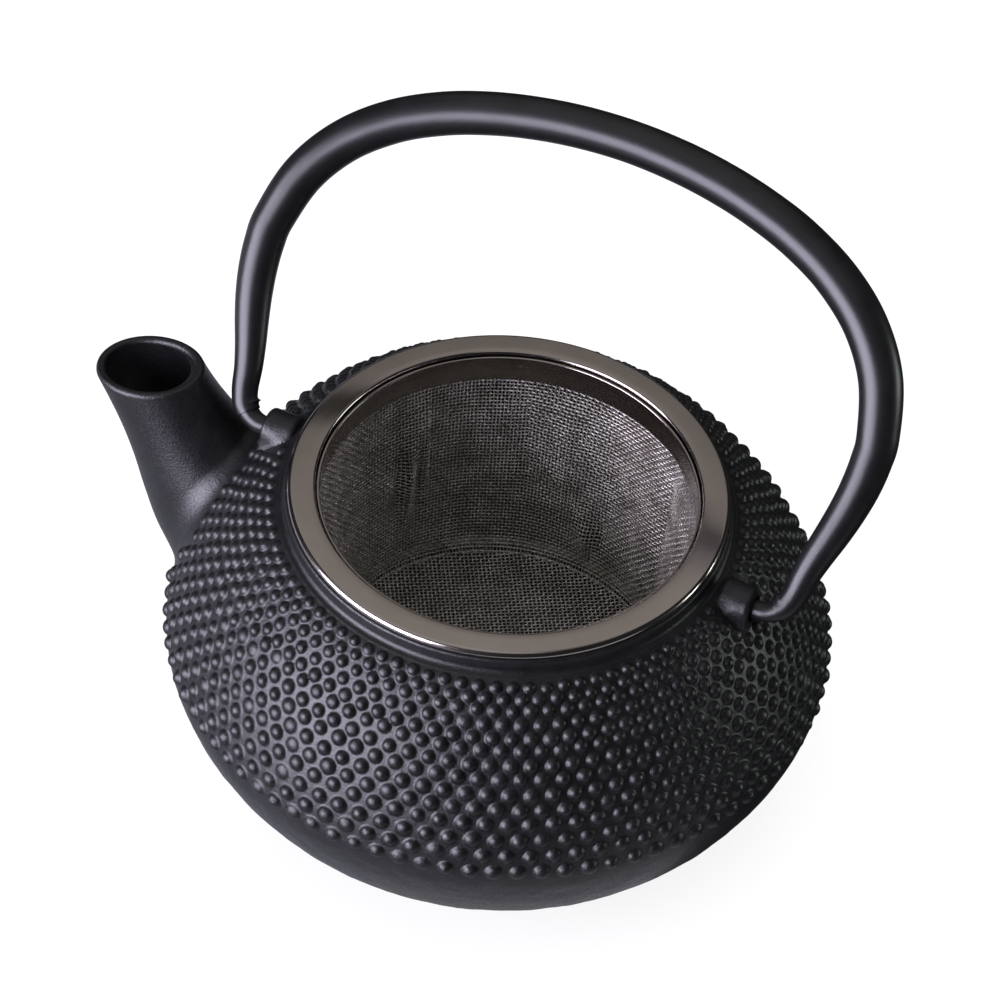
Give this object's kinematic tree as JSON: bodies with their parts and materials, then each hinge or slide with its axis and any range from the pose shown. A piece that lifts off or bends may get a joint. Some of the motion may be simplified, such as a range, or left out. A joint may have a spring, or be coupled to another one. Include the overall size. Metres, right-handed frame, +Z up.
{
  "type": "teapot",
  "caption": "Small round cast-iron teapot with a hobnail body, open spout, swinging bail handle and a lift-out steel mesh infuser.",
  "frame": {"origin": "centre of the foot's underside, where the pot stands on a table", "axes": "+Z up through the mouth; the spout points to -X; the bail pivots about an axis along X and leans back to +Y at rest"},
  "size_m": [0.1307, 0.1084, 0.1077],
  "materials": {
    "cast_iron_black": "black satin paint on cast iron",
    "enamel_black": "glossy black enamel",
    "handle_black": "satin black paint",
    "polished_steel": "polished stainless steel",
    "steel_mesh": "woven stainless wire"
  },
  "bodies": {
    "pot": {"pot_body": "cast_iron_black", "enamel_lining": "enamel_black"},
    "bail": {"bail_handle": "handle_black", "hook_left": "handle_black", "hook_right": "handle_black"},
    "infuser": {"infuser_rim": "polished_steel", "infuser_clamp_band": "polished_steel", "infuser_wall_mesh": "steel_mesh", "infuser_floor_mesh": "steel_mesh"}
  },
  "joints": [
    {"name": "bail_swing", "type": "hinge", "parent": "pot", "child": "bail", "pos_m": [0, 0, 0.0556], "axis": [1, 0, 0], "range_deg": [-62, 142]},
    {"name": "infuser_lift", "type": "slide", "parent": "pot", "child": "infuser", "axis": [0, 0, 1], "range_m": [0, 0.06]}
  ]
}
